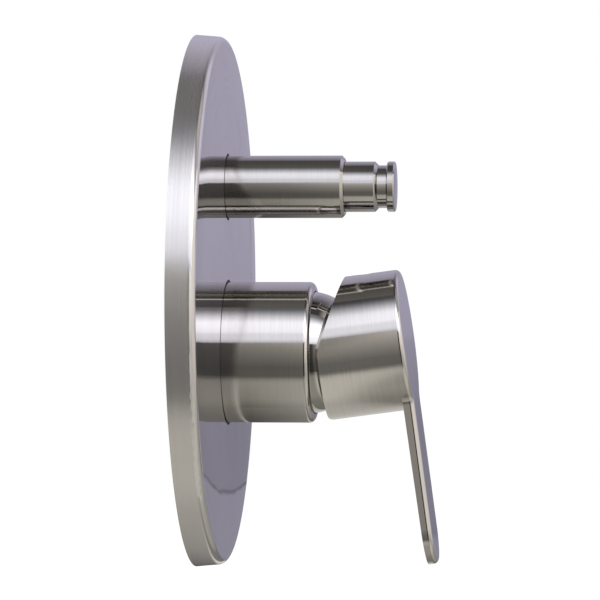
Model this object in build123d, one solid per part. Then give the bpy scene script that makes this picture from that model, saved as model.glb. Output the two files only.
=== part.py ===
from build123d import *
import os
from math import cos, radians, sin, tan

# Concealed shower mixer with a pull diverter, on a round wall plate. Millimetres.
# The origin is the centre of the plate's back edge in the plane of the wall, +Z is up and
# the trim stands out from the wall along -Y. Every piece is drawn in a working frame whose
# x is to the side, y is up and z is the distance out from the wall, and is turned at the end.

# Wall plate
plate_radius = 90.0
plate_depth = 9.6
plate_wall = 1.6
rim_draft = 5.0
rim_round = 2.6
inner_round = 0.6
crown_band = 20.0
crown_rise = 0.55
gasket_width = 2.6
gasket_depth = 4.0

# Clearances: pieces fixed together, pieces that turn or slide in each other, open gaps
fit_gap = 0.05
run_gap = 0.08
open_gap = 0.3
plate_hole_gap = 0.8
ring_relief = 0.02
lead_in = 0.5
past = 1.0

# Heights of the two axes above the plate's centre
mixer_height = -17.5
diverter_height = 38.5

# Rubber rings that close the plate's two holes round the sleeves
ring_flange = 2.2
ring_thickness = 1.2
ring_recess = 0.35

# Brass function block behind the plate
block_back = -2.0
mixer_pad_radius = 24.0
diverter_pad_radius = 14.0
spine_width = 26.0
lug_spacing_x = 54.0
lug_spacing_z = 100.0
lug_radius = 6.5
lug_hole_radius = 2.75
block_edge = 0.8

# Waterways of the block, from the two axes
port_side = 8.5
port_rise = 3.0
port_radius = 2.8
mixed_port_drop = 8.0
duct_radius = 2.4
duct_plug_length = 5.0
shower_offset = 16.0
shower_pad_radius = 9.0

# Spigots on the back of the block, one for each pipe
spigot_radius = 5.5
spigot_length = 5.0
spigot_ring = 1.6

# Mixer chamber, with the dome screwed on its neck and the sleeve round it
pivot_reach = 37.0
chamber_recess = 2.2
chamber_radius = 17.6
chamber_wall = 1.7
dome_wall = 1.4
dome_skirt = 11.0
dome_shoulder = 1.5
dome_opening_radius = 13.0
dome_clearance = 0.15
sleeve_wall = 1.5
sleeve_past_pivot = 2.8
sleeve_round = 1.9
sleeve_lip_width = 1.45
sleeve_lip = 2.4
sleeve_ring = 1.8
collar_height = 7.0
collar_slack = 0.15

# Cartridge, from its seals on the chamber's floor to the stem's guide in its neck
housing_gap = 0.2
nut_height = 4.0
nut_slots = 6
nut_slot_width = 3.0
nut_slot_depth = 1.6
housing_wall = 2.0
housing_neck_wall = 1.2
housing_above_pivot = 4.0
base_thickness = 2.6
port_seal_proud = 0.2
port_seal_width = 1.2
fixed_disc_thickness = 2.6
moving_disc_thickness = 2.4
moving_disc_radius = 11.0
disc_film = 0.02
mixing_recess = 1.2
recess_side_wall = 3.0
recess_end_wall = 5.5
carrier_floor = 1.38
carrier_above_ball = 2.8
guide_flange = 1.45
guide_radius = 11.0
guide_above_pivot = 3.5
pivot_pin_radius = 1.5
pivot_pin_inset = 0.8

# Lever stem
stem_side = 8.0
stem_boss_radius = 4.6
shank_radius = 2.2
ball_radius = 3.0

# Handle, in the photographed position, lifted by rest_lift from closed
rest_lift = 7.6
full_lift = 24.0
hub_wall = 2.3
hub_front = 34.8
hub_front_wall = 5.55
hub_rear = 5.6
hub_heel = 4.8
hub_rear_cut = 24.4
hub_rear_bend = 12.0
hub_bottom_round = 1.4
dome_gap = 0.7
lever_width = 26.0
lever_drop = 76.4
lever_root = 4.0
lever_tip = 3.4
lever_corner = 12.2
lever_root_round = 3.2
handle_edge = 1.6
screw_below_front = 12.3
screw_hole_radius = 2.8
screw_radius = 2.5
screw_length = 9.0
screw_hex = 2.5
screw_hex_depth = 3.0

# Diverter post
post_reach = 50.0
post_wall = 1.5
post_chamfer = 1.0
post_lip = 4.0
post_lip_width = 0.47
post_collar_height = 6.0
post_collar_wall = 1.0
post_ring = 1.0
diverter_floor_wall = 2.5
diverter_neck_wall = 1.35
seat_hole_radius = 3.0
seat_lip_width = 1.2
seat_lip_height = 1.5

# Diverter knob, measured out from the post's end, with its stem and valve
pull_travel = 8.0
knob_radius = 8.5
knob_barrel = 10.2
knob_shoulder = 1.1
knob_neck_step = 1.3
knob_neck = 3.1
knob_flange = 2.7
knob_flange_edge = 0.4
knob_crown = 0.3
knob_wall = 1.5
knob_floor_past_post = 2.0
knob_thread_depth = 8.0
diverter_stem_radius = 2.5
bonnet_thread = 6.5
bonnet_hex = 13.4
bonnet_hex_height = 4.0
bonnet_clearance = 6.0
stem_ring = 1.4
poppet_radius = 6.2
poppet_thickness = 2.5
washer_radius = 4.9
washer_thickness = 2.0
washer_screw_radius = 2.4
washer_screw_head = 1.2
washer_screw_shank = 1.25
washer_screw_slot = 0.6
spring_wire = 1.2
spring_turns = 5
spring_radius = 4.4

# Levels out from the wall: plate and block
face_level = plate_depth + crown_rise
inside_level = face_level - plate_wall
sleeve_back = inside_level - ring_thickness - fit_gap
block_front = sleeve_back - 2 * fit_gap
chamber_floor = block_front - chamber_recess
duct_level = (block_back + chamber_floor) / 2
mixer_ring_level = block_front + collar_height / 2
post_ring_level = block_front + post_collar_height / 2
nose_level = block_back - spigot_length
spigot_ring_level = block_back - spigot_length / 2

# Levels of the cartridge and the dome
sleeve_reach = pivot_reach + sleeve_past_pivot
base_back = chamber_floor + port_seal_proud
base_front = base_back + base_thickness
fixed_disc_front = base_front + fixed_disc_thickness
moving_disc_back = fixed_disc_front + disc_film
carrier_back = moving_disc_back + moving_disc_thickness
ball_socket = ball_radius + open_gap
ball_level = carrier_back + carrier_floor + ball_socket
ball_distance = pivot_reach - ball_level
carrier_front = ball_level + carrier_above_ball
guide_back = pivot_reach - ball_distance * cos(radians(full_lift)) + ball_socket
guide_shoulder = guide_back + guide_flange
housing_inside_top = guide_shoulder + run_gap
housing_shoulder = housing_inside_top + housing_wall
neck_reach = housing_shoulder + nut_height

# How far the ball of the stem lies below the mixer's axis, and the moving disc's centre
ball_rest_drop = ball_distance * sin(radians(rest_lift))
disc_centre = ball_distance * sin(radians(full_lift)) / 2 - ball_rest_drop

# Levels along the handle's axis, from the pivot
lever_back = hub_front - lever_root
stem_length = hub_front - hub_front_wall - open_gap
screw_distance = hub_front - screw_below_front

# Levels of the diverter
knob_tail = post_reach - post_lip - pull_travel
diverter_neck_reach = knob_tail - bonnet_clearance - bonnet_hex_height
bonnet_back = diverter_neck_reach - bonnet_thread
bonnet_middle = bonnet_back + bonnet_thread / 2
knob_floor = post_reach + knob_floor_past_post
knob_barrel_reach = post_reach + knob_barrel
knob_neck_start = knob_barrel_reach + knob_shoulder
knob_neck_end = knob_neck_start + knob_neck
knob_end_face = knob_neck_end + knob_flange
diverter_floor = block_back + diverter_floor_wall
washer_back = diverter_floor + seat_lip_height
washer_front = washer_back + washer_thickness
poppet_front = washer_front + poppet_thickness

# Radii that follow from the pieces they fit
neck_radius = chamber_radius + chamber_wall
dome_radius = neck_radius + dome_wall
sleeve_bore = dome_radius + dome_clearance + sleeve_lip_width
sleeve_radius = sleeve_bore + sleeve_wall
collar_radius = sleeve_bore - collar_slack
hub_hollow = dome_radius + dome_gap
hub_radius = hub_hollow + hub_wall
housing_radius = chamber_radius - housing_gap
disc_chamber_radius = housing_radius - housing_wall
housing_neck_radius = guide_radius + housing_neck_wall
post_bore = knob_radius + run_gap + post_lip_width
post_radius = post_bore + post_wall
post_collar_radius = post_bore - fit_gap
diverter_chamber_radius = post_collar_radius - post_ring - post_collar_wall
diverter_neck_radius = diverter_chamber_radius + diverter_neck_wall

# Places of the ports, of the spigots on the pipes, and of the ends of the drilled ducts
ports = [(-port_side, port_rise), (port_side, port_rise), (0.0, -mixed_port_drop)]
spigots = {
    "hot": (-port_side, mixer_height + port_rise),
    "cold": (port_side, mixer_height + port_rise),
    "spout": (0.0, diverter_height),
    "shower": (shower_offset, diverter_height),
}
duct_foot = -lug_spacing_z / 2 - lug_radius
shower_duct_end = shower_offset + shower_pad_radius

outward = Plane(origin=(0, 0, 0), x_dir=(1, 0, 0), z_dir=(0, -1, 0))
mixer_axis = outward * Pos(0, mixer_height, 0)
diverter_axis = outward * Pos(0, diverter_height, 0)
mixer_pivot = mixer_axis * Pos(0, 0, pivot_reach)
handle_frame = mixer_pivot * Rot(-rest_lift, 0, 0)
side_plane = Plane(origin=(0, 0, 0), x_dir=(0, 0, 1), z_dir=(-1, 0, 0))


def rod(radius, back, front, x=0.0, y=0.0):
    """A solid cylinder between two levels."""
    return Pos(x, y, (back + front) / 2) * Cylinder(radius, front - back)


def tube(outer, inner, back, front, x=0.0, y=0.0):
    """A cylinder with a bore through it."""
    return rod(outer, back, front, x, y) - rod(inner, back - past, front + past, x, y)


def turned(*outline):
    """The solid turned from a closed outline of (radius, level) points."""
    section = make_face(Plane.XZ * Polyline(*outline, close=True))
    return revolve(section, Axis.Z)


def o_ring(inner, section, level, x=0.0, y=0.0):
    """A round rubber ring that lies against a shaft of the inner radius."""
    return Pos(x, y, level) * Torus(inner + section / 2, section / 2 - ring_relief)


def bar(side_x, side_y, back, front, x=0.0, y=0.0):
    """A rectangular bar between two levels."""
    return Pos(x, y, (back + front) / 2) * Box(side_x, side_y, front - back)


def hexagon_bar(across_flats, back, front):
    """A hexagonal bar between two levels."""
    outline = RegularPolygon(across_flats / 2, 6, major_radius=False)
    return Pos(0, 0, back) * extrude(outline, front - back)


def rim_radius(level):
    """The drafted outside radius of the plate's rim at a level."""
    return plate_radius - level * tan(radians(rim_draft))


def faceplate():
    """A dished round plate: drafted rim, rounded front edge and a face that falls away at the rim."""
    front = rim_radius(plate_depth)
    crown_radius = plate_radius - crown_band
    inner_depth = plate_depth - plate_wall
    inner_rim = rim_radius(inner_depth) - plate_wall
    outline = [
        Line((0, face_level), (crown_radius, face_level)),
        TangentArc((crown_radius, face_level), (front, plate_depth), tangent=(1, 0)),
        Polyline(
            (front, plate_depth),
            (plate_radius, 0),
            (plate_radius - plate_wall, 0),
            (inner_rim, inner_depth),
        ),
        TangentArc((crown_radius, inside_level), (inner_rim, inner_depth), tangent=(1, 0)),
        Polyline((crown_radius, inside_level), (0, inside_level), (0, face_level)),
    ]
    section = make_face(outline)
    front_corner = section.vertices().sort_by_distance((front, plate_depth))[0]
    section = fillet(front_corner, rim_round)
    back_corner = section.vertices().sort_by_distance((inner_rim, inner_depth))[0]
    section = fillet(back_corner, inner_round)
    plate = revolve(Plane.XZ * section, Axis.Z)
    for radius, height in ((sleeve_radius, mixer_height), (post_radius, diverter_height)):
        plate -= rod(radius + plate_hole_gap, 0, face_level + past, y=height)
    return outward * plate


def wall_gasket():
    """A foam ring inside the rim, flush with the plate's back edge."""
    back = plate_radius - plate_wall - fit_gap
    front = rim_radius(gasket_depth) - plate_wall - fit_gap
    inner = back - gasket_width
    return outward * turned((inner, 0), (back, 0), (front, gasket_depth), (inner, gasket_depth))


def plate_ring(sleeve, frame):
    """A rubber ring with a flange behind the plate and a lip that fills the hole's gap."""
    shaft = sleeve + fit_gap
    lip = sleeve + plate_hole_gap - fit_gap
    flange = lip + ring_flange
    flange_front = inside_level - fit_gap
    flange_back = flange_front - ring_thickness
    lip_front = face_level - ring_recess
    return frame * turned(
        (shaft, flange_back),
        (flange, flange_back),
        (flange, flange_front),
        (lip, flange_front),
        (lip, lip_front),
        (shaft, lip_front),
    )


def webbed(*discs):
    """The outline drawn tight round several discs, each given as (x, y, radius)."""
    rims = [edge for x, y, radius in discs for edge in (Pos(x, y) * Circle(radius)).edges()]
    return make_hull(rims)


def block_outline():
    """The outline of the function block: two webbed heads with the fixing lugs, on a spine."""
    side = lug_spacing_x / 2
    end = lug_spacing_z / 2
    top = webbed(
        (-side, end, lug_radius),
        (side, end, lug_radius),
        (0, diverter_height, diverter_pad_radius),
        (shower_offset, diverter_height, shower_pad_radius),
    )
    foot = webbed(
        (-side, -end, lug_radius),
        (side, -end, lug_radius),
        (0, mixer_height, mixer_pad_radius),
    )
    spine = Pos(0, (mixer_height + diverter_height) / 2) * Rectangle(
        spine_width, diverter_height - mixer_height
    )
    return top + foot + spine


def lug_places():
    """The centres of the four fixing holes."""
    return [
        (x * lug_spacing_x / 2, y * lug_spacing_z / 2) for x in (-1, 1) for y in (-1, 1)
    ]


def across(radius, start, end, height):
    """A drilling along x between two places, at the ducts' level."""
    drill = Rot(0, 90, 0) * Cylinder(radius, end - start)
    return Pos((start + end) / 2, height, duct_level) * drill


def upright(radius, low, high):
    """A drilling along y between two heights, at the ducts' level."""
    return Pos(0, (low + high) / 2, duct_level) * Rot(90, 0, 0) * Cylinder(radius, high - low)


def ring_groove(radius, ring, level, x, y):
    """The cut for a rubber ring that is flush with the cylinder it lies in."""
    half = ring / 2 + fit_gap
    return tube(radius + past, radius - ring, level - half, level + half, x, y)


def spigot(x, y):
    """A male spigot with a chamfered nose and a groove for its ring."""
    body = rod(spigot_radius, nose_level, block_back, x, y)
    body = chamfer(body.edges().group_by(Axis.Z)[0], lead_in)
    return body - ring_groove(spigot_radius, spigot_ring, spigot_ring_level, x, y)


def neck(radius, reach, collar, height, y):
    """A neck that stands on the block, with the collar that a sleeve slides over at its foot."""
    return rod(radius, block_front, reach, y=y) + rod(collar, block_front, block_front + height, y=y)


def waterways():
    """The ports, drilled ducts and pipe bores of the block, joined as the water runs."""
    bores = upright(duct_radius, duct_foot - past, diverter_height - diverter_chamber_radius + past)
    bores += across(
        duct_radius, diverter_chamber_radius - past, shower_duct_end + past, diverter_height
    )
    bores += rod(port_radius, duct_level, chamber_floor + past, y=mixer_height - mixed_port_drop)
    for name in ("hot", "cold"):
        x, y = spigots[name]
        bores += rod(port_radius, nose_level - past, chamber_floor + past, x, y)
    x, y = spigots["shower"]
    return bores + rod(port_radius, nose_level - past, duct_level, x, y)


def valve_body():
    """The cast and machined block with the mixer's neck, the diverter's neck and four spigots."""
    pad = Pos(0, 0, block_back) * extrude(block_outline(), block_front - block_back)
    body = chamfer(pad.edges().group_by(Axis.Z)[-1], block_edge)
    body += neck(neck_radius, neck_reach, collar_radius, collar_height, mixer_height)
    body += neck(
        diverter_neck_radius,
        diverter_neck_reach,
        post_collar_radius,
        post_collar_height,
        diverter_height,
    )
    for x, y in spigots.values():
        body += spigot(x, y)
    body -= rod(chamber_radius, chamber_floor, neck_reach + past, y=mixer_height)
    chamber_top = diverter_neck_reach + past
    body -= rod(diverter_chamber_radius, diverter_floor, chamber_top, y=diverter_height)
    body -= ring_groove(collar_radius, sleeve_ring, mixer_ring_level, 0, mixer_height)
    body -= ring_groove(post_collar_radius, post_ring, post_ring_level, 0, diverter_height)
    for x, y in lug_places():
        body -= rod(lug_hole_radius, block_back - past, block_front + past, x, y)
    body -= waterways()
    seat_radius = seat_hole_radius + seat_lip_width
    body += rod(seat_radius, diverter_floor, washer_back, y=diverter_height)
    body -= rod(seat_hole_radius, nose_level - past, washer_back + past, y=diverter_height)
    return outward * body


def duct_plugs():
    """The two plugs that close the open ends of the drilled ducts."""
    radius = duct_radius - fit_gap
    foot = upright(radius, duct_foot, duct_foot + duct_plug_length)
    side = across(radius, shower_duct_end - duct_plug_length, shower_duct_end, diverter_height)
    return outward * Compound(children=[foot, side])


def spigot_rings():
    """The rubber rings of the four spigots, as they lie when the spigots are plugged in."""
    inner = spigot_radius - spigot_ring
    rings = [o_ring(inner, spigot_ring, spigot_ring_level, x, y) for x, y in spigots.values()]
    return outward * Compound(children=rings)


def mixer_sleeve():
    """The large turned sleeve, with a rounded front edge and a lip turned in to the dome."""
    sleeve = rod(sleeve_radius, sleeve_back, sleeve_reach)
    sleeve = fillet(sleeve.edges().group_by(Axis.Z)[-1], sleeve_round)
    sleeve -= rod(sleeve_bore, sleeve_back - past, sleeve_reach - sleeve_lip)
    return mixer_axis * (sleeve - rod(dome_radius + dome_clearance, sleeve_back, sleeve_reach + past))


def mixer_sleeve_ring():
    """The rubber ring between the block's collar and the mixer sleeve."""
    inner = collar_radius - sleeve_ring
    return mixer_axis * o_ring(inner, sleeve_ring, mixer_ring_level)


def domed_rod(radius, back):
    """A cylinder that ends in a hemisphere about the handle's pivot."""
    ball = Pos(0, 0, pivot_reach) * Sphere(radius)
    front_half = rod(radius + past, pivot_reach, pivot_reach + radius + past)
    return rod(radius, back, pivot_reach) + (ball & front_half)


def dome_cap():
    """The polished cap that screws on the neck and shows as a dome inside the handle."""
    skirt_back = pivot_reach - dome_skirt
    cap = domed_rod(dome_radius, skirt_back)
    cap -= domed_rod(dome_radius - dome_wall, neck_reach + dome_shoulder)
    cap -= rod(neck_radius + fit_gap, skirt_back - past, neck_reach)
    cap -= rod(chamber_radius, skirt_back, pivot_reach)
    return mixer_axis * (cap - rod(dome_opening_radius, pivot_reach, pivot_reach + dome_radius))


def cartridge_nut():
    """The slotted ring nut that holds the cartridge down in its chamber."""
    inner = housing_neck_radius + 2 * fit_gap
    nut = tube(chamber_radius - fit_gap, inner, housing_shoulder, neck_reach)
    slot_floor = neck_reach - nut_slot_depth
    slot = bar(2 * chamber_radius, nut_slot_width, slot_floor, neck_reach + past)
    for turn in range(nut_slots // 2):
        nut -= Rot(0, 0, turn * 360 / nut_slots) * slot
    return mixer_axis * nut


def cartridge_housing():
    """The moulded shell of the cartridge, with a neck that guides the stem's carrier."""
    top = pivot_reach + housing_above_pivot
    shell = rod(housing_radius, base_front, housing_shoulder)
    shell += rod(housing_neck_radius, housing_shoulder, top)
    shell -= rod(disc_chamber_radius, base_front - past, housing_inside_top)
    return mixer_axis * (shell - rod(guide_radius, housing_inside_top - past, top + past))


def cartridge_base():
    """The moulded base under the ceramic discs, with a socket round each port for its seal."""
    base = rod(housing_radius, base_back, base_front)
    seal_radius = port_radius + port_seal_width + fit_gap
    for x, y in ports:
        base -= rod(port_radius, base_back - past, base_front + past, x, y)
        base -= rod(seal_radius, base_back - past, base_back + base_thickness / 2, x, y)
    return mixer_axis * base


def port_seals():
    """The three rubber rings between the cartridge's base and the chamber's floor."""
    front = base_back + base_thickness / 2
    outer = port_radius + port_seal_width
    bore = port_radius + fit_gap
    rings = [tube(outer, bore, chamber_floor, front, x, y) for x, y in ports]
    return mixer_axis * Compound(children=rings)


def fixed_disc():
    """The ceramic disc with one hole for each port."""
    disc = rod(disc_chamber_radius - 2 * fit_gap, base_front, fixed_disc_front)
    for x, y in ports:
        disc -= rod(port_radius, base_front - past, fixed_disc_front + past, x, y)
    return mixer_axis * disc


def moving_disc():
    """The ceramic disc that uncovers the ports, with the mixing recess in its back."""
    disc = rod(moving_disc_radius, moving_disc_back, carrier_back, y=disc_centre)
    recess = Ellipse(moving_disc_radius - recess_side_wall, moving_disc_radius - recess_end_wall)
    recess = Pos(0, disc_centre, moving_disc_back) * extrude(recess, mixing_recess)
    return mixer_axis * (disc - recess)


def disc_carrier():
    """The moulded plate on the moving disc, with a blind socket for the ball of the stem."""
    carrier = rod(moving_disc_radius, carrier_back, carrier_front, y=disc_centre)
    socket_floor = carrier_back + carrier_floor
    carrier -= rod(ball_socket, socket_floor, carrier_front + past, y=-ball_rest_drop)
    return mixer_axis * carrier


def guide_slot():
    """The slot through the stem guide, long enough for the whole lift."""
    half = stem_side / 2
    lift = radians(full_lift)
    foot_depth = pivot_reach - guide_back
    high = guide_above_pivot * tan(lift) + half / cos(lift) + open_gap
    low = foot_depth * tan(lift) + shank_radius / cos(lift) + open_gap
    middle = (high - low) / 2
    front = pivot_reach + guide_above_pivot + past
    return bar(stem_side + 2 * open_gap, high + low, guide_back - past, front, y=middle)


def stem_guide():
    """The turning guide inside the cartridge's neck, slotted for the lever stem."""
    guide = rod(disc_chamber_radius - 2 * run_gap, guide_back, guide_shoulder)
    guide += rod(guide_radius - run_gap, guide_shoulder, pivot_reach + guide_above_pivot)
    guide -= guide_slot()
    pin_hole = Rot(0, 90, 0) * Cylinder(pivot_pin_radius + fit_gap / 2, 3 * guide_radius)
    return mixer_axis * (guide - Pos(0, 0, pivot_reach) * pin_hole)


def pivot_pin():
    """The steel pin that the lever stem tilts on."""
    pin = Rot(0, 90, 0) * Cylinder(pivot_pin_radius, 2 * (guide_radius - pivot_pin_inset))
    return mixer_pivot * pin


def lever_stem():
    """The stem: a square end for the handle, a boss on the pivot pin and a ball at the foot."""
    flat = bar(stem_side, stem_side, stem_boss_radius / 2, stem_length)
    flat = chamfer(flat.edges().group_by(Axis.Z)[-1], lead_in)
    boss = Rot(0, 90, 0) * Cylinder(stem_boss_radius, stem_side)
    shank = rod(shank_radius, -ball_distance, 0)
    ball = Pos(0, 0, -ball_distance) * Sphere(ball_radius)
    hole = Rot(0, 90, 0) * Cylinder(pivot_pin_radius + run_gap, 2 * stem_side)
    return handle_frame * (flat + boss + shank + ball - hole)


def hub():
    """The round hub, its back cut almost square below the pivot and slanting above it."""
    over = hub_radius + past
    slant = over * tan(radians(hub_rear_cut))
    side = Polyline(
        (hub_heel, -hub_radius),
        (hub_rear, 0),
        (hub_rear + slant, over),
        (hub_front, over),
        (hub_front, -hub_radius),
        close=True,
    )
    profile = make_face(side)
    bend = profile.vertices().sort_by_distance((hub_rear, 0))[0]
    profile = fillet(bend, hub_rear_bend)
    corner = profile.vertices().sort_by_distance((hub_heel, -hub_radius))[0]
    profile = fillet(corner, hub_bottom_round)
    block = extrude(side_plane * profile, hub_radius + past, both=True)
    return rod(hub_radius, 0, hub_front) & block


def lever():
    """The flat lever: a front outline with rounded end corners and a back that thins to the tip."""
    outline = Pos(0, -lever_drop / 2) * Rectangle(lever_width, lever_drop)
    outline = fillet(outline.vertices().group_by(Axis.Y)[0], lever_corner)
    front = Pos(0, 0, lever_back) * extrude(outline, lever_root)
    beyond = hub_front + past
    foot = -lever_drop
    back_tip = hub_front - lever_tip
    side = Polyline((lever_back, 0), (beyond, 0), (beyond, foot), (back_tip, foot), close=True)
    return front & extrude(side_plane * make_face(side), lever_width, both=True)


def root_edges(body):
    """The edges where the lever's back and its two sides run into the hub."""
    on_wall = [
        edge
        for edge in body.edges()
        if abs(edge.center().Y) < hub_radius and abs(edge.center().X) <= lever_width / 2 + fit_gap
    ]
    across_hub = [
        edge
        for edge in on_wall
        if edge.bounding_box().size.X > lever_width - past
        and lever_back - past < edge.center().Z < hub_front - past
    ]
    up_sides = [
        edge
        for edge in on_wall
        if edge.bounding_box().size.Y < fit_gap
        and edge.bounding_box().size.X < fit_gap
        and edge.center().Y < 0
    ]
    return across_hub + up_sides


def handle():
    """The cast handle: hub and lever in one piece, hollowed for the dome, the stem and a screw."""
    body = hub() + lever()
    body = fillet(root_edges(body), lever_root_round)
    body = fillet(body.edges().group_by(Axis.Z)[-1], handle_edge)
    body -= Sphere(hub_hollow)
    socket = stem_side + 2 * fit_gap
    body -= bar(socket, socket, 0, stem_length + open_gap)
    hole = Rot(90, 0, 0) * Cylinder(screw_hole_radius, hub_radius)
    body -= Pos(0, hub_radius / 2, screw_distance) * hole
    return handle_frame * body


def set_screw():
    """The grub screw that clamps the handle on the stem, with a hexagon socket."""
    foot = stem_side / 2 + fit_gap
    top = foot + screw_length
    screw = rod(screw_radius, foot, top)
    screw = chamfer(screw.edges().group_by(Axis.Z)[0], lead_in)
    screw -= hexagon_bar(screw_hex, top - screw_hex_depth, top + past)
    return handle_frame * Pos(0, 0, screw_distance) * Rot(-90, 0, 0) * screw


def diverter_sleeve():
    """The slim turned post, with a chamfered end whose lip guides the knob."""
    sleeve = rod(post_radius, sleeve_back, post_reach)
    sleeve = chamfer(sleeve.edges().group_by(Axis.Z)[-1], post_chamfer)
    sleeve -= rod(post_bore, sleeve_back - past, post_reach - post_lip)
    return diverter_axis * (sleeve - rod(knob_radius + run_gap, sleeve_back, post_reach + past))


def diverter_sleeve_ring():
    """The rubber ring between the block's collar and the diverter post."""
    return diverter_axis * o_ring(post_collar_radius - post_ring, post_ring, post_ring_level)


def diverter_bonnet():
    """The brass gland with a hexagon head that closes the diverter's chamber."""
    head_front = diverter_neck_reach + bonnet_hex_height
    bonnet = rod(diverter_chamber_radius - fit_gap, bonnet_back, diverter_neck_reach)
    bonnet += hexagon_bar(bonnet_hex, diverter_neck_reach, head_front)
    bonnet -= rod(diverter_stem_radius + run_gap, bonnet_back - past, head_front + past)
    half = stem_ring / 2 + fit_gap
    seat = diverter_stem_radius + stem_ring + 2 * run_gap
    return diverter_axis * (bonnet - rod(seat, bonnet_middle - half, bonnet_middle + half))


def stem_gland_ring():
    """The rubber ring in the bonnet that seals the sliding stem."""
    inner = diverter_stem_radius + run_gap
    return diverter_axis * o_ring(inner, stem_ring, bonnet_middle)


def diverter_spring():
    """The return spring between the bonnet and the valve."""
    wire = spring_wire / 2
    start = poppet_front + open_gap + wire
    length = bonnet_back - fit_gap - wire - start
    path = Helix(length / spring_turns, length, spring_radius)
    section = Plane(path @ 0, z_dir=path % 0) * Circle(wire)
    return diverter_axis * Pos(0, 0, start) * sweep(section, path, is_frenet=True)


def diverter_stem():
    """The steel stem, from the valve through the bonnet into the knob."""
    front = knob_floor + knob_thread_depth - open_gap
    stem = rod(diverter_stem_radius, washer_front + washer_screw_shank, front)
    return diverter_axis * chamfer(stem.edges().group_by(Axis.Z)[-1], lead_in)


def diverter_poppet():
    """The brass valve head that carries the rubber washer on the foot of the stem."""
    head = rod(poppet_radius, washer_front, poppet_front)
    stem_foot = washer_front + washer_screw_shank
    head -= rod(diverter_stem_radius + fit_gap, stem_foot, poppet_front + past)
    return diverter_axis * (head - rod(washer_screw_shank + fit_gap, washer_front - past, stem_foot))


def seat_washer():
    """The rubber washer that closes the spout's seat while the knob is in."""
    washer = tube(washer_radius, washer_screw_shank + fit_gap, washer_back + fit_gap, washer_front)
    return diverter_axis * washer


def washer_screw():
    """The small screw that holds the washer to the valve head."""
    head_front = washer_back + fit_gap
    head_back = head_front - washer_screw_head
    screw = rod(washer_screw_radius, head_back, head_front)
    screw += rod(washer_screw_shank, head_front, washer_front + washer_screw_shank)
    slot_depth = washer_screw_head / 2
    slot = bar(3 * washer_screw_radius, washer_screw_slot, head_back - past, head_back + slot_depth)
    return diverter_axis * (screw - slot)


def diverter_knob():
    """The turned pull knob: barrel, waist and end flange, hollow behind to clear the bonnet."""
    rim = knob_radius - knob_flange_edge
    knob = turned(
        (0, knob_tail),
        (knob_radius, knob_tail),
        (knob_radius, knob_barrel_reach),
        (knob_radius - knob_shoulder, knob_neck_start),
        (knob_radius - knob_neck_step, knob_neck_start),
        (knob_radius - knob_neck_step, knob_neck_end),
        (rim, knob_neck_end),
        (knob_radius, knob_neck_end + knob_flange_edge),
        (knob_radius, knob_end_face - knob_flange_edge),
        (rim, knob_end_face),
        (0, knob_end_face),
    )
    crown_sphere = (rim**2 + knob_crown**2) / (2 * knob_crown)
    crown = Pos(0, 0, knob_end_face + knob_crown - crown_sphere) * Sphere(crown_sphere)
    knob += crown & rod(rim, knob_end_face, knob_end_face + past)
    knob -= rod(knob_radius - knob_wall, knob_tail - past, knob_floor)
    thread_end = knob_floor + knob_thread_depth
    knob -= rod(diverter_stem_radius + fit_gap, knob_floor - past, thread_end)
    return diverter_axis * knob


nodes = {
    "faceplate": faceplate(),
    "wall_gasket": wall_gasket(),
    "mixer_plate_ring": plate_ring(sleeve_radius, mixer_axis),
    "diverter_plate_ring": plate_ring(post_radius, diverter_axis),
    "valve_body": valve_body(),
    "duct_plugs": duct_plugs(),
    "spigot_rings": spigot_rings(),
    "mixer_sleeve": mixer_sleeve(),
    "mixer_sleeve_ring": mixer_sleeve_ring(),
    "dome_cap": dome_cap(),
    "cartridge_nut": cartridge_nut(),
    "cartridge_housing": cartridge_housing(),
    "cartridge_base": cartridge_base(),
    "port_seals": port_seals(),
    "fixed_disc": fixed_disc(),
    "moving_disc": moving_disc(),
    "disc_carrier": disc_carrier(),
    "stem_guide": stem_guide(),
    "pivot_pin": pivot_pin(),
    "lever_stem": lever_stem(),
    "handle": handle(),
    "set_screw": set_screw(),
    "diverter_sleeve": diverter_sleeve(),
    "diverter_sleeve_ring": diverter_sleeve_ring(),
    "diverter_bonnet": diverter_bonnet(),
    "stem_gland_ring": stem_gland_ring(),
    "diverter_spring": diverter_spring(),
    "diverter_stem": diverter_stem(),
    "diverter_poppet": diverter_poppet(),
    "seat_washer": seat_washer(),
    "washer_screw": washer_screw(),
    "diverter_knob": diverter_knob(),
}

os.makedirs("parts", exist_ok=True)
for name, shape in nodes.items():
    export_step(shape, f"parts/{name}.step")
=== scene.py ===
import math

import bpy
from mathutils import Matrix, Vector


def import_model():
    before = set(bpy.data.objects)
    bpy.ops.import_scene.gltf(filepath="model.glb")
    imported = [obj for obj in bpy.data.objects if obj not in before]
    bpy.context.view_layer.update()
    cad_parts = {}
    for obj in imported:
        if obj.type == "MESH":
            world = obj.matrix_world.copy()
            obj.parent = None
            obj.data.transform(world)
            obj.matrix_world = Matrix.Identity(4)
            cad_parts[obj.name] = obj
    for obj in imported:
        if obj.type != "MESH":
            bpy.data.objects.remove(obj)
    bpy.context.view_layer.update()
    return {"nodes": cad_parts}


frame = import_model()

# Everything is in metres, in the part's own frame: +Z up, the trim stands out along -Y.

# Camera, fitted to the photograph
TARGET = Vector((0.0, -0.03456, 0.00022))
DISTANCE = 1.7
AZIMUTH = -84.12
ELEVATION = 1.6
ROLL = -0.13
FOCAL_PIXELS = 5024.5
PICTURE_SIDE = 600
SENSOR = 36.0

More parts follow.
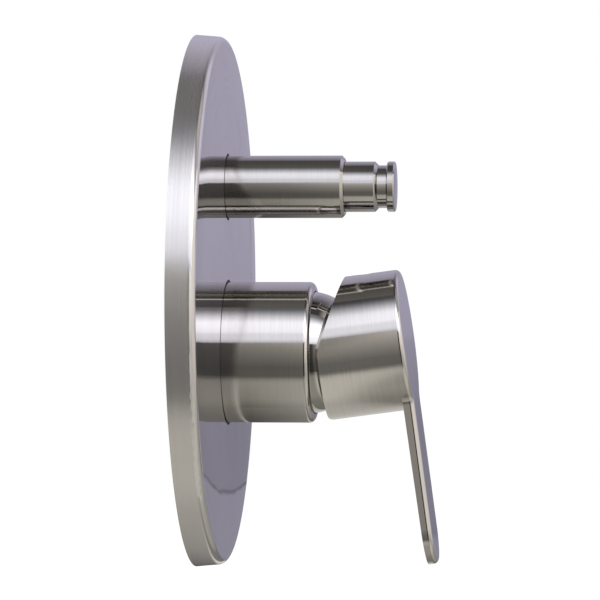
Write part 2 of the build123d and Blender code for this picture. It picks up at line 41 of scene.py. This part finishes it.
# Axes that the metal was turned and brushed about, and places along them
PIVOT = Vector((0.0, -0.037, -0.0175))
HANDLE_TILT = math.radians(7.6)
OUTWARD = Vector((0.0, -1.0, 0.0))
HANDLE_AXIS = Vector((0.0, -math.cos(HANDLE_TILT), math.sin(HANDLE_TILT)))
LEVER_DOWN = Vector((0.0, -math.sin(HANDLE_TILT), -math.cos(HANDLE_TILT)))
DIVERTER = Vector((0.0, 0.0, 0.0385))
PLATE_CENTRE = Vector((0.0, 0.0, 0.0))
SIDEWAYS = Vector((1.0, 0.0, 0.0))
LEVER_ROOT = (0.0225, 0.0245)
KNOB_WAIST = (0.0612, 0.0645)

# How squarely a surface faces along its axis where its finish begins and has fully changed
PLATE_POLISH = (0.2, 0.35)
KNOB_POLISH = (0.8, 0.9)
STRAIGHT_GRAIN = (0.6, 0.85)

# Linear colours of the metals and the other materials
NICKEL = (0.50, 0.475, 0.435)
NICKEL_RIM = (0.56, 0.535, 0.495)
NICKEL_POST = (0.42, 0.40, 0.365)
NICKEL_EDGE = (0.94, 0.93, 0.96)
PLAIN_EDGE = (0.9, 0.9, 0.9)
BRASS_CAST = (0.52, 0.38, 0.17)
BRASS_TURNED = (0.66, 0.49, 0.22)
STEEL = (0.50, 0.50, 0.51)
STEEL_DARK = (0.05, 0.05, 0.055)
RUBBER = (0.018, 0.018, 0.019)
FOAM = (0.045, 0.045, 0.047)
PLASTIC = (0.72, 0.72, 0.69)
CERAMIC = (0.80, 0.79, 0.76)

BRUSHED_ROUGHNESS = 0.088
RIM_ROUGHNESS = 0.25
BRUSHED_ANISOTROPY = 0.5
POLISHED_ROUGHNESS = 0.04
HAZY_METALLIC = 0.85

# Grain of the nickel: changes per metre across it and per unit along it, depth and lean
FINE_STREAKS = (5200.0, 1.6)
WIDE_STREAKS = (1500.0, 0.8)
BUFFING_MARKS = (700.0, 3.0)
WIDE_SHARE = 0.4
LEVER_DRIFT = 40.0
GRAIN_DEPTH = 0.0000007
WAVE_SCALE = 45.0
WAVE_DEPTH = 0.00012
SWAY = 0.02

# Colour and roughness of every metal follow its grain and a slow cloud
CLOUD_SCALE = 38.0
CLOUD_SHARE = 0.3
NICKEL_SPREAD = 0.28
SPREAD = 0.12
SLIGHT_SPREAD = 0.06
VARIED_FROM = (0.3, 0.7)
METAL_VARIES = (0.85, 1.15)
SOLID_VARIES = 0.06

# Finishes of the nickel pieces: base colour, roughness, share of metal
BRUSHED = (NICKEL, BRUSHED_ROUGHNESS, 1.0)
RIM = (NICKEL_RIM, RIM_ROUGHNESS, HAZY_METALLIC)
POST = (NICKEL_POST, BRUSHED_ROUGHNESS, 1.0)

# Studio
FLOOR_LEVEL = -1.05
FLOOR_SIZE = 30.0
FLOOR_PALE = 0.85
FLOOR_LIFT = 0.62
SKY_FOR_MATT = 0.5
SCREEN_RADIUS = 0.95
SCREEN_WIDTH = 3.2
SCREEN_STEP = 3.0
END_SCREEN = (1.2, -1.0, 1.2)
END_GLOW = {"From Min": -0.8, "From Max": 0.6, "To Min": 0.6, "To Max": 1.5}

COOL = (0.845, 0.87, 1.0)
WARM = (1.0, 0.965, 0.94)
CREAM = (1.0, 0.985, 0.93)
VIOLET = (0.82, 0.79, 1.0)

# Curved screens round the Y axis. A stop is an angle in degrees and a brightness there: angle 0
# is at the camera's side, 90 overhead and 180 beyond the trim. An edge is (start, end, share at
# the first stop, share at the last): from start to end along Y the brightness goes to that share.
SOFTBOX = {
    "tint": COOL,
    "stops": [
        (16.5, 0.95),
        (20.3, 1.46),
        (22.3, 1.62),
        (30.5, 1.68),
        (35, 2.08),
        (46, 2.2),
        (51, 2.15),
        (56.5, 1.7),
        (62, 1.22),
        (68, 0.68),
        (74, 0.28),
        (80, 0.19),
    ],
    "edges": [(0.09, 0.17, 1.0, 0.45), (0.03, 0.0, 1.0, 0.55), (-0.08, -0.12, 1.15, 2.7)],
    "lights": True,
}
HORIZON = {
    "tint": WARM,
    "stops": [
        (-37, 0.23),
        (-23, 0.235),
        (-13, 0.34),
        (-3.5, 0.46),
        (6, 0.62),
        (11.5, 0.75),
        (16.5, 0.95),
    ],
    "edges": [
        (0.25, 0.45, 3.0, 1.4),
        (0.045, 0.07, 0.72, 0.48),
        (-0.07, -0.093, 0.22, 0.09),
        (-0.26, -0.36, 2.4, 4.4),
        (-0.38, -0.6, 6.0, 4.2),
    ],
}
LOW_HIGH = {
    "tint": CREAM,
    "stops": [(-43, 0.56), (-40, 0.34), (-37, 0.23)],
    "edges": [
        (0.25, 0.45, 1.8, 3.0),
        (0.02, 0.11, 0.45, 0.5),
        (-0.084, -0.091, 0.42, 0.42),
        (-0.1, -0.104, 1.2, 1.2),
        (-0.26, -0.36, 1.8, 3.0),
        (-0.38, -0.6, 1.0, 2.0),
    ],
}
LOW_MIDDLE = {
    "tint": CREAM,
    "stops": [
        (-100, 0.68),
        (-88, 0.8),
        (-80, 0.86),
        (-65, 0.83),
        (-54, 0.8),
        (-48, 0.76),
        (-43, 0.56),
    ],
    "edges": [
        (0.25, 0.45, 7.0, 1.8),
        (0.02, 0.11, 0.1, 0.45),
        (0.03, 0.015, 1.1, 1.1),
        (-0.084, -0.091, 0.42, 0.42),
        (-0.1, -0.104, 1.2, 1.2),
        (-0.26, -0.36, 1.8, 1.8),
    ],
}
LOW_SIDE = {
    "tint": CREAM,
    "stops": [(-165, 0.42), (-125, 0.52), (-112, 0.6), (-100, 0.68)],
    "edges": [
        (0.25, 0.45, 14.0, 4.0),
        (0.02, 0.11, 0.05, 0.2),
        (0.03, 0.015, 1.9, 1.1),
        (-0.068, -0.078, 0.5, 1.0),
        (-0.084, -0.091, 0.4, 0.4),
        (-0.1, -0.104, 1.2, 1.2),
        (-0.26, -0.36, 1.8, 1.8),
    ],
}
ABOVE = {
    "tint": WARM,
    "stops": [(80, 0.19), (95, 0.15), (110, 0.13)],
    "edges": [(0.25, 0.45, 4.0, 4.0), (0.03, 0.0, 0.4, 0.8), (-0.3, -0.55, 8.0, 7.0)],
}
FAR_HIGH = {
    "tint": VIOLET,
    "stops": [
        (110, 0.13),
        (113, 0.3),
        (117, 0.46),
        (124, 0.55),
        (134, 0.72),
        (152, 0.76),
        (160, 0.69),
    ],
    "edges": [(-0.05, -0.09, 0.4, 1.0), (-0.3, -0.55, 3.0, 1.3)],
}
FAR_SIDE = {
    "tint": VIOLET,
    "stops": [(160, 0.69), (170, 0.56), (178.5, 0.52)],
    "edges": [(-0.3, -0.55, 1.3, 1.6)],
}
FAR_MIDDLE = {
    "tint": VIOLET,
    "stops": [(178.5, 0.54), (181.5, 0.5)],
    "edges": [
        (-0.1004, -0.0998, 0.72, 0.72),
        (-0.0916, -0.091, 1.4, 1.4),
        (-0.3, -0.55, 1.6, 1.8),
    ],
}
FAR_LOW = {
    "tint": VIOLET,
    "stops": [
        (181.5, 0.42),
        (184, 0.32),
        (187.62, 0.32),
        (187.66, 0.2),
        (187.74, 0.2),
        (187.8, 0.39),
        (195, 0.37),
    ],
    "edges": [(0.25, 0.45, 1.5, 1.5), (-0.3, -0.55, 1.8, 2.2)],
}
SCREENS = {
    "softbox": SOFTBOX,
    "horizon": HORIZON,
    "low_high": LOW_HIGH,
    "low_middle": LOW_MIDDLE,
    "low_side": LOW_SIDE,
    "above": ABOVE,
    "far_high": FAR_HIGH,
    "far_side": FAR_SIDE,
    "far_middle": FAR_MIDDLE,
    "far_low": FAR_LOW,
}


class Shader:
    """A node tree under construction, with one method for each kind of node in use."""

    def __init__(self, tree):
        self.tree = tree
        self.tree.nodes.clear()

    def node(self, kind, inputs=None, **settings):
        made = self.tree.nodes.new(kind)
        for name, value in settings.items():
            setattr(made, name, value)
        for key, value in (inputs or {}).items():
            if isinstance(value, bpy.types.NodeSocket):
                self.tree.links.new(value, made.inputs[key])
            else:
                made.inputs[key].default_value = value
        return made

    def math(self, operation, *values):
        inputs = dict(enumerate(values))
        return self.node("ShaderNodeMath", inputs, operation=operation).outputs[0]

    def vector(self, operation, *values, output="Vector"):
        inputs = dict(enumerate(values))
        return self.node("ShaderNodeVectorMath", inputs, operation=operation).outputs[output]

    def scaled(self, vector, factor):
        return self.node(
            "ShaderNodeVectorMath", {0: vector, "Scale": factor}, operation="SCALE"
        ).outputs["Vector"]

    def ramp(self, value, low, high, out_low=0.0, out_high=1.0):
        """A number that goes smoothly from out_low to out_high as the value passes low to high."""
        inputs = {
            "Value": value,
            "From Min": low,
            "From Max": high,
            "To Min": out_low,
            "To Max": out_high,
        }
        return self.node("ShaderNodeMapRange", inputs, interpolation_type="SMOOTHSTEP").outputs["Result"]

    def noise(self, vector, scale=1.0, detail=2.0, roughness=0.5):
        inputs = {"Vector": vector, "Scale": scale, "Detail": detail, "Roughness": roughness}
        return self.node("ShaderNodeTexNoise", inputs).outputs["Fac"]

    def blend(self, factor, a, b):
        """A number part of the way from a to b."""
        inputs = {0: factor, 2: a, 3: b}
        return self.node("ShaderNodeMix", inputs, data_type="FLOAT").outputs[0]

    def mix(self, factor, a, b):
        inputs = {"Factor": factor, "A": a, "B": b}
        made = self.node("ShaderNodeMix", data_type="RGBA")
        for key, value in inputs.items():
            kind = "VALUE" if key == "Factor" else "RGBA"
            socket = next(s for s in made.inputs if s.name == key and s.type == kind)
            if isinstance(value, bpy.types.NodeSocket):
                self.tree.links.new(value, socket)
            else:
                socket.default_value = value
        return next(s for s in made.outputs if s.type == "RGBA")

    def finish(self, shader, target="ShaderNodeOutputMaterial"):
        output = self.node(target)
        self.tree.links.new(shader, output.inputs["Surface"])


def rgba(colour, factor=1.0):
    """A colour with its alpha, made lighter or darker by a factor."""
    return tuple(min(1.0, c * factor) for c in colour) + (1.0,)


def new_material(name):
    """A material with an empty node tree."""
    material = bpy.data.materials.new(name)
    material.use_nodes = True
    return material, Shader(material.node_tree)


class Turned:
    """Where a point of a turned piece lies: along its axis, out from it and round it."""

    def __init__(self, shader, centre, axis):
        place = shader.node("ShaderNodeTexCoord")
        self.point = place.outputs["Object"]
        self.normal = place.outputs["Normal"]
        offset = shader.vector("SUBTRACT", self.point, centre)
        self.along = shader.vector("DOT_PRODUCT", offset, axis, output="Value")
        radial = shader.vector("SUBTRACT", offset, shader.scaled(axis, self.along))
        self.radius = shader.vector("LENGTH", radial, output="Value")
        self.outwards = shader.vector("NORMALIZE", radial)
        self.round = shader.vector("CROSS_PRODUCT", axis, self.outwards)
        facing = shader.vector("DOT_PRODUCT", self.normal, axis, output="Value")
        self.facing = shader.math("ABSOLUTE", facing)


def mixed_vector(shader, factor, a, b):
    """One of two directions, or a blend of them."""
    low = shader.scaled(a, shader.math("SUBTRACT", 1.0, factor))
    return shader.vector("ADD", low, shader.scaled(b, factor))


def grain_noise(shader, across, round_, fineness, drift):
    """Streaks that change quickly across the grain and slowly along it."""
    fast = shader.scaled(shader.node("ShaderNodeCombineXYZ", {"X": across}).outputs[0], fineness)
    slow = shader.scaled(round_, drift)
    return shader.noise(shader.vector("ADD", fast, slow), detail=3.0, roughness=0.6)


def swayed(shader, normal, direction, streaks, amount):
    """The normal, leant to and fro along a direction as the streaks change."""
    lean = shader.math("MULTIPLY", shader.math("SUBTRACT", streaks, 0.5), amount)
    return shader.vector("NORMALIZE", shader.vector("ADD", normal, shader.scaled(direction, lean)))


def to_world(shader, vector, kind="VECTOR"):
    """A direction of the object, given in world space."""
    inputs = {"Vector": vector}
    settings = {"vector_type": kind, "convert_from": "OBJECT", "convert_to": "WORLD"}
    return shader.node("ShaderNodeVectorTransform", inputs, **settings).outputs[0]


def metal(shader, base, edge, grain, where, roughness, height, spread, metallic=1.0, **inputs):
    """A metal surface whose colour, roughness and relief follow a grain and a slow cloud.

    The height is that of the relief, in metres.
    """
    cloud = shader.noise(where, scale=CLOUD_SCALE, detail=2.0)
    shade = shader.blend(CLOUD_SHARE, grain, cloud)
    relief = {"Strength": 1.0, "Distance": 1.0, "Height": height}
    if "Normal" in inputs:
        relief["Normal"] = inputs["Normal"]
    inputs["Normal"] = shader.node("ShaderNodeBump", relief).outputs["Normal"]
    inputs["Base Color"] = shader.mix(shade, rgba(base, 1.0 - spread), rgba(base, 1.0 + spread))
    varied = shader.ramp(shade, *VARIED_FROM, *METAL_VARIES)
    inputs["Roughness"] = shader.math("MULTIPLY", roughness, varied)
    inputs["Specular Tint"] = rgba(edge)
    inputs["Metallic"] = metallic
    return shader.node("ShaderNodeBsdfPrincipled", inputs).outputs["BSDF"]


def nickel(shader, place, across, slow, direction, finish=BRUSHED, polished=0.0):
    """Brushed nickel, given the place across the grain, the place along it and its direction.

    The share that is polished has buffing marks and slight waves in place of the grain.
    """
    base, roughness, metallic = finish
    fine = grain_noise(shader, across, slow, *FINE_STREAKS)
    wide = grain_noise(shader, across, slow, *WIDE_STREAKS)
    marks = grain_noise(shader, place.radius, place.outwards, *BUFFING_MARKS)
    waves = shader.noise(place.point, scale=WAVE_SCALE, detail=1.0)
    grain = shader.blend(polished, shader.blend(WIDE_SHARE, fine, wide), marks)
    sway = shader.blend(polished, SWAY, 0.0)
    leant = swayed(shader, place.normal, direction, wide, sway)
    buffed = shader.math("MULTIPLY", shader.math("SUBTRACT", waves, 0.5), WAVE_DEPTH)
    height = shader.blend(polished, shader.math("MULTIPLY", grain, GRAIN_DEPTH), buffed)
    return metal(
        shader,
        base,
        NICKEL_EDGE,
        grain,
        place.point,
        shader.blend(polished, roughness, POLISHED_ROUGHNESS),
        height,
        NICKEL_SPREAD,
        metallic,
        Anisotropic=BRUSHED_ANISOTROPY,
        Tangent=across_grain(shader, direction, place.normal),
        Normal=shader.vector("NORMALIZE", to_world(shader, leant, "NORMAL")),
    )


def across_grain(shader, grain_direction, normal):
    """The direction in the surface at right angles to the grain, in world space."""
    side = shader.vector("CROSS_PRODUCT", grain_direction, normal)
    return shader.vector("NORMALIZE", to_world(shader, side))


def turned_nickel(name, centre, axis=OUTWARD, finish=BRUSHED, polished=None):
    """Nickel brushed round an axis, with stretches that are left polished."""
    material, shader = new_material(name)
    place = Turned(shader, centre, axis)
    across = shader.math("ADD", place.along, place.radius)
    share = polished(shader, place) if polished else 0.0
    shader.finish(nickel(shader, place, across, place.outwards, place.round, finish, share))
    return material


def plate_face(shader, place):
    """The plate is polished on its face and its rounded edge, and brushed on its rim."""
    return shader.ramp(place.facing, *PLATE_POLISH)


def all_over(shader, place):
    """The dome cap is polished everywhere."""
    return 1.0


def knob_waist(shader, place):
    """The knob is polished in its waist and on its crowned end."""
    start, end = KNOB_WAIST
    past_start = shader.math("GREATER_THAN", place.along, start)
    inside = shader.math("MULTIPLY", past_start, shader.math("LESS_THAN", place.along, end))
    return shader.math("MAXIMUM", inside, shader.ramp(place.facing, *KNOB_POLISH))


def brushed_handle():
    """Nickel brushed round the hub and along the lever."""
    material, shader = new_material("nickel_handle")
    place = Turned(shader, PIVOT, HANDLE_AXIS)
    offset = shader.vector("SUBTRACT", place.point, PIVOT)
    down = shader.vector("DOT_PRODUCT", offset, LEVER_DOWN, output="Value")
    side = shader.vector("DOT_PRODUCT", offset, SIDEWAYS, output="Value")
    on_face = shader.ramp(place.facing, *STRAIGHT_GRAIN)
    on_lever = shader.ramp(down, *LEVER_ROOT)
    straight = shader.math("MAXIMUM", on_face, on_lever)
    turned_across = shader.math("ADD", place.along, place.radius)
    straight_across = shader.math("ADD", place.along, side)
    across = shader.blend(straight, turned_across, straight_across)
    along_lever = shader.scaled(LEVER_DOWN, shader.math("MULTIPLY", down, LEVER_DRIFT))
    slow = mixed_vector(shader, straight, place.outwards, along_lever)
    direction = mixed_vector(shader, straight, place.round, LEVER_DOWN)
    shader.finish(nickel(shader, place, across, slow, direction))
    return material


def even_grain(shader, scale):
    """A point of the piece and an even grain there."""
    point = shader.node("ShaderNodeTexCoord").outputs["Object"]
    return point, shader.noise(point, scale=scale, detail=4.0, roughness=0.65)


def plain_metal(name, base, roughness, scale, depth, spread=SPREAD):
    """A cast, turned or rolled metal with an even grain."""
    material, shader = new_material(name)
    point, grain = even_grain(shader, scale)
    height = shader.math("MULTIPLY", grain, depth)
    shader.finish(metal(shader, base, PLAIN_EDGE, grain, point, roughness, height, spread))
    return material


def plain_solid(name, base, roughness, scale, depth, spread=SPREAD):
    """A rubber, plastic or ceramic with a fine even texture."""
    material, shader = new_material(name)
    point, grain = even_grain(shader, scale)
    relief = shader.node("ShaderNodeBump", {"Strength": 1.0, "Distance": depth, "Height": grain})
    inputs = {
        "Base Color": shader.mix(grain, rgba(base, 1.0 - spread), rgba(base, 1.0 + spread)),
        "Roughness": shader.ramp(grain, *VARIED_FROM, roughness - SOLID_VARIES, roughness + SOLID_VARIES),
        "Normal": relief.outputs["Normal"],
    }
    shader.finish(shader.node("ShaderNodeBsdfPrincipled", inputs).outputs["BSDF"])
    return material


def dress(material, *nodes):
    """Gives CAD nodes their material."""
    for name in nodes:
        mesh = frame["nodes"][name].data
        mesh.materials.clear()
        mesh.materials.append(material)


# How each plain material is made, its name and look, and the nodes that have it.
# A look is base colour, roughness, scale and depth of the grain, and where needed colour spread.
PLAIN_PIECES = [
    (plain_metal, "brass_cast", (BRASS_CAST, 0.45, 900.0, 0.00004), ["valve_body"]),
    (
        plain_metal,
        "brass_turned",
        (BRASS_TURNED, 0.25, 1500.0, 0.000008, SLIGHT_SPREAD),
        ["duct_plugs", "cartridge_nut", "diverter_bonnet", "diverter_poppet"],
    ),
    (
        plain_metal,
        "stainless",
        (STEEL, 0.25, 1500.0, 0.000006, SLIGHT_SPREAD),
        ["pivot_pin", "lever_stem", "diverter_spring", "diverter_stem", "washer_screw"],
    ),
    (plain_metal, "black_oxide", (STEEL_DARK, 0.4, 1800.0, 0.00001), ["set_screw"]),
    (
        plain_solid,
        "rubber",
        (RUBBER, 0.6, 1200.0, 0.00002),
        [
            "mixer_plate_ring",
            "diverter_plate_ring",
            "spigot_rings",
            "mixer_sleeve_ring",
            "diverter_sleeve_ring",
            "stem_gland_ring",
            "seat_washer",
            "port_seals",
        ],
    ),
    (plain_solid, "foam", (FOAM, 0.85, 900.0, 0.00015, 0.3), ["wall_gasket"]),
    (
        plain_solid,
        "moulded_plastic",
        (PLASTIC, 0.45, 600.0, 0.00001, 0.03),
        ["cartridge_housing", "cartridge_base", "disc_carrier", "stem_guide"],
    ),
    (plain_solid, "ceramic", (CERAMIC, 0.15, 400.0, 0.000002, 0.02), ["fixed_disc", "moving_disc"]),
]


def dress_all():
    """Every node gets the finish of its real piece."""
    plate = turned_nickel("nickel_plate", PLATE_CENTRE, finish=RIM, polished=plate_face)
    dress(plate, "faceplate")
    dress(turned_nickel("nickel_sleeve", PIVOT), "mixer_sleeve")
    dress(turned_nickel("nickel_post", DIVERTER, finish=POST), "diverter_sleeve")
    dress(turned_nickel("nickel_knob", DIVERTER, finish=POST, polished=knob_waist), "diverter_knob")
    dress(brushed_handle(), "handle")
    dress(turned_nickel("nickel_dome", PIVOT, polished=all_over), "dome_cap")
    for make, name, look, nodes in PLAIN_PIECES:
        dress(make(name, *look), *nodes)


def seen_white(shader):
    """One for the rays of the eye, of metal and of glass, and zero for the rest."""
    path = shader.node("ShaderNodeLightPath")
    seen = shader.math("MAXIMUM", path.outputs["Is Camera Ray"], path.outputs["Is Glossy Ray"])
    return shader.math("MAXIMUM", seen, path.outputs["Is Transmission Ray"])


def world():
    """A white sky for the eye and for metal, and half as bright for matt surfaces."""
    made = bpy.data.worlds.new("studio")
    bpy.context.scene.world = made
    made.use_nodes = True
    shader = Shader(made.node_tree)
    strength = shader.blend(seen_white(shader), SKY_FOR_MATT, 1.0)
    inputs = {"Color": rgba((1.0, 1.0, 1.0)), "Strength": strength}
    background = shader.node("ShaderNodeBackground", inputs).outputs["Background"]
    shader.finish(background, "ShaderNodeOutputWorld")


def floor():
    """A pale floor, as far below as for a valve at its usual height on the wall.

    It looks white where light reaches it, and keeps the shadow that falls on it.
    """
    bpy.ops.mesh.primitive_plane_add(size=FLOOR_SIZE, location=(0.0, 0.0, FLOOR_LEVEL))
    plane = bpy.context.object
    plane.name = "floor"
    material, shader = new_material("floor")
    pale = rgba((FLOOR_PALE, FLOOR_PALE, FLOOR_PALE))
    matt = shader.node("ShaderNodeBsdfDiffuse", {"Color": pale}).outputs["BSDF"]
    lift = shader.blend(seen_white(shader), 0.0, FLOOR_LIFT)
    glow = shader.node("ShaderNodeEmission", {"Color": rgba((1.0, 1.0, 1.0)), "Strength": lift})
    both = shader.node("ShaderNodeAddShader", {0: matt, 1: glow.outputs["Emission"]})
    shader.finish(both.outputs["Shader"])
    plane.data.materials.append(material)


def curved_sheet(low, high):
    """The points and faces of a sheet round the Y axis between two angles in degrees."""
    steps = max(1, round((high - low) / SCREEN_STEP))
    half = SCREEN_WIDTH / 2
    points, faces = [], []
    for index in range(steps + 1):
        angle = math.radians(low + (high - low) * index / steps)
        x, z = -math.cos(angle) * SCREEN_RADIUS, math.sin(angle) * SCREEN_RADIUS
        points += [(x, -half, z), (x, half, z)]
        if index:
            start = 2 * index
            faces.append((start - 2, start - 1, start + 1, start))
    return points, faces


def share_of_turn(shader, axes, low, high):
    """How far round from the low angle to the high one a point of a screen lies."""
    away = shader.math("MULTIPLY", axes.outputs["X"], -1.0)
    turn = shader.math("ARCTAN2", axes.outputs["Z"], away)
    turn = shader.math("MULTIPLY", turn, 180.0 / math.pi)
    if high > 180.0:
        turn = shader.math("WRAP", turn, high, high - 360.0)
    return shader.math("DIVIDE", shader.math("SUBTRACT", turn, low), high - low)


def screen(name, tint, stops, edges, lights=False):
    """A curved screen with the brightness of its stops and edges."""
    low, high = stops[0][0], stops[-1][0]
    material, shader = new_material(name)
    point = shader.node("ShaderNodeTexCoord").outputs["Object"]
    axes = shader.node("ShaderNodeSeparateXYZ", {0: point})
    level = share_of_turn(shader, axes, low, high)
    ramp = shader.node("ShaderNodeValToRGB", {"Fac": level})
    peak = max(brightness for _, brightness in stops)
    while len(ramp.color_ramp.elements) < len(stops):
        ramp.color_ramp.elements.new(0.5)
    for element, (angle, brightness) in zip(ramp.color_ramp.elements, stops):
        element.position = (angle - low) / (high - low)
        element.color = rgba(tint, brightness / peak)
    strength = peak
    for start, end, share_low, share_high in edges:
        share = shader.blend(shader.math("MAXIMUM", level, 0.0), share_low, share_high)
        past = shader.ramp(axes.outputs["Y"], start, end)
        strength = shader.math("MULTIPLY", shader.blend(past, 1.0, share), strength)
    emission = shader.node("ShaderNodeEmission", {"Color": ramp.outputs["Color"], "Strength": strength})
    shader.finish(emission.outputs["Emission"])
    stage_screen(name, *curved_sheet(low, high), material, lights)


def stage_screen(name, points, faces, material, lights=False):
    """A screen that the camera doesn't see. One that lights also reaches matt surfaces."""
    mesh = bpy.data.meshes.new(name)
    mesh.from_pydata(points, [], faces)
    mesh.materials.append(material)
    made = bpy.data.objects.new(name, mesh)
    bpy.context.scene.collection.objects.link(made)
    made.visible_camera = False
    made.visible_diffuse = lights
    made.visible_shadow = False


def end_screen():
    """A flat screen in front of the trim, dim below and bright above."""
    side, low, high = END_SCREEN
    front = -SCREEN_WIDTH / 2
    corners = [(-side, front, low), (side, front, low), (side, front, high), (-side, front, high)]
    material, shader = new_material("end_screen")
    point = shader.node("ShaderNodeTexCoord").outputs["Object"]
    height = shader.node("ShaderNodeSeparateXYZ", {0: point}).outputs["Z"]
    glow = shader.node("ShaderNodeMapRange", {"Value": height, **END_GLOW}).outputs["Result"]
    emission = shader.node("ShaderNodeEmission", {"Color": rgba(WARM), "Strength": glow})
    shader.finish(emission.outputs["Emission"])
    stage_screen("end_screen", corners, [(0, 1, 2, 3)], material)


def studio():
    """A softbox above the camera, a dim room behind it, and grey screens below and beyond."""
    for name, look in SCREENS.items():
        screen(name, **look)
    end_screen()


def camera():
    """The camera at the photograph's viewing angle."""
    azimuth, elevation, roll = (math.radians(a) for a in (AZIMUTH, ELEVATION, ROLL))
    back = Vector(
        (
            math.sin(azimuth) * math.cos(elevation),
            -math.cos(azimuth) * math.cos(elevation),
            math.sin(elevation),
        )
    )
    right = (-back).cross(Vector((0, 0, 1))).normalized()
    up = right.cross(-back)
    rolled_right = right * math.cos(roll) + up * math.sin(roll)
    rolled_up = up * math.cos(roll) - right * math.sin(roll)
    lens = bpy.data.cameras.new("camera")
    lens.sensor_width = SENSOR
    lens.lens = FOCAL_PIXELS / PICTURE_SIDE * SENSOR
    lens.clip_end = 50.0
    holder = bpy.data.objects.new("camera", lens)
    bpy.context.scene.collection.objects.link(holder)
    turn = Matrix((rolled_right, rolled_up, back)).transposed().to_4x4()
    holder.matrix_world = Matrix.Translation(TARGET + back * DISTANCE) @ turn
    bpy.context.scene.camera = holder


dress_all()
world()
floor()
studio()
camera()
bpy.context.scene.view_settings.view_transform = "Standard"
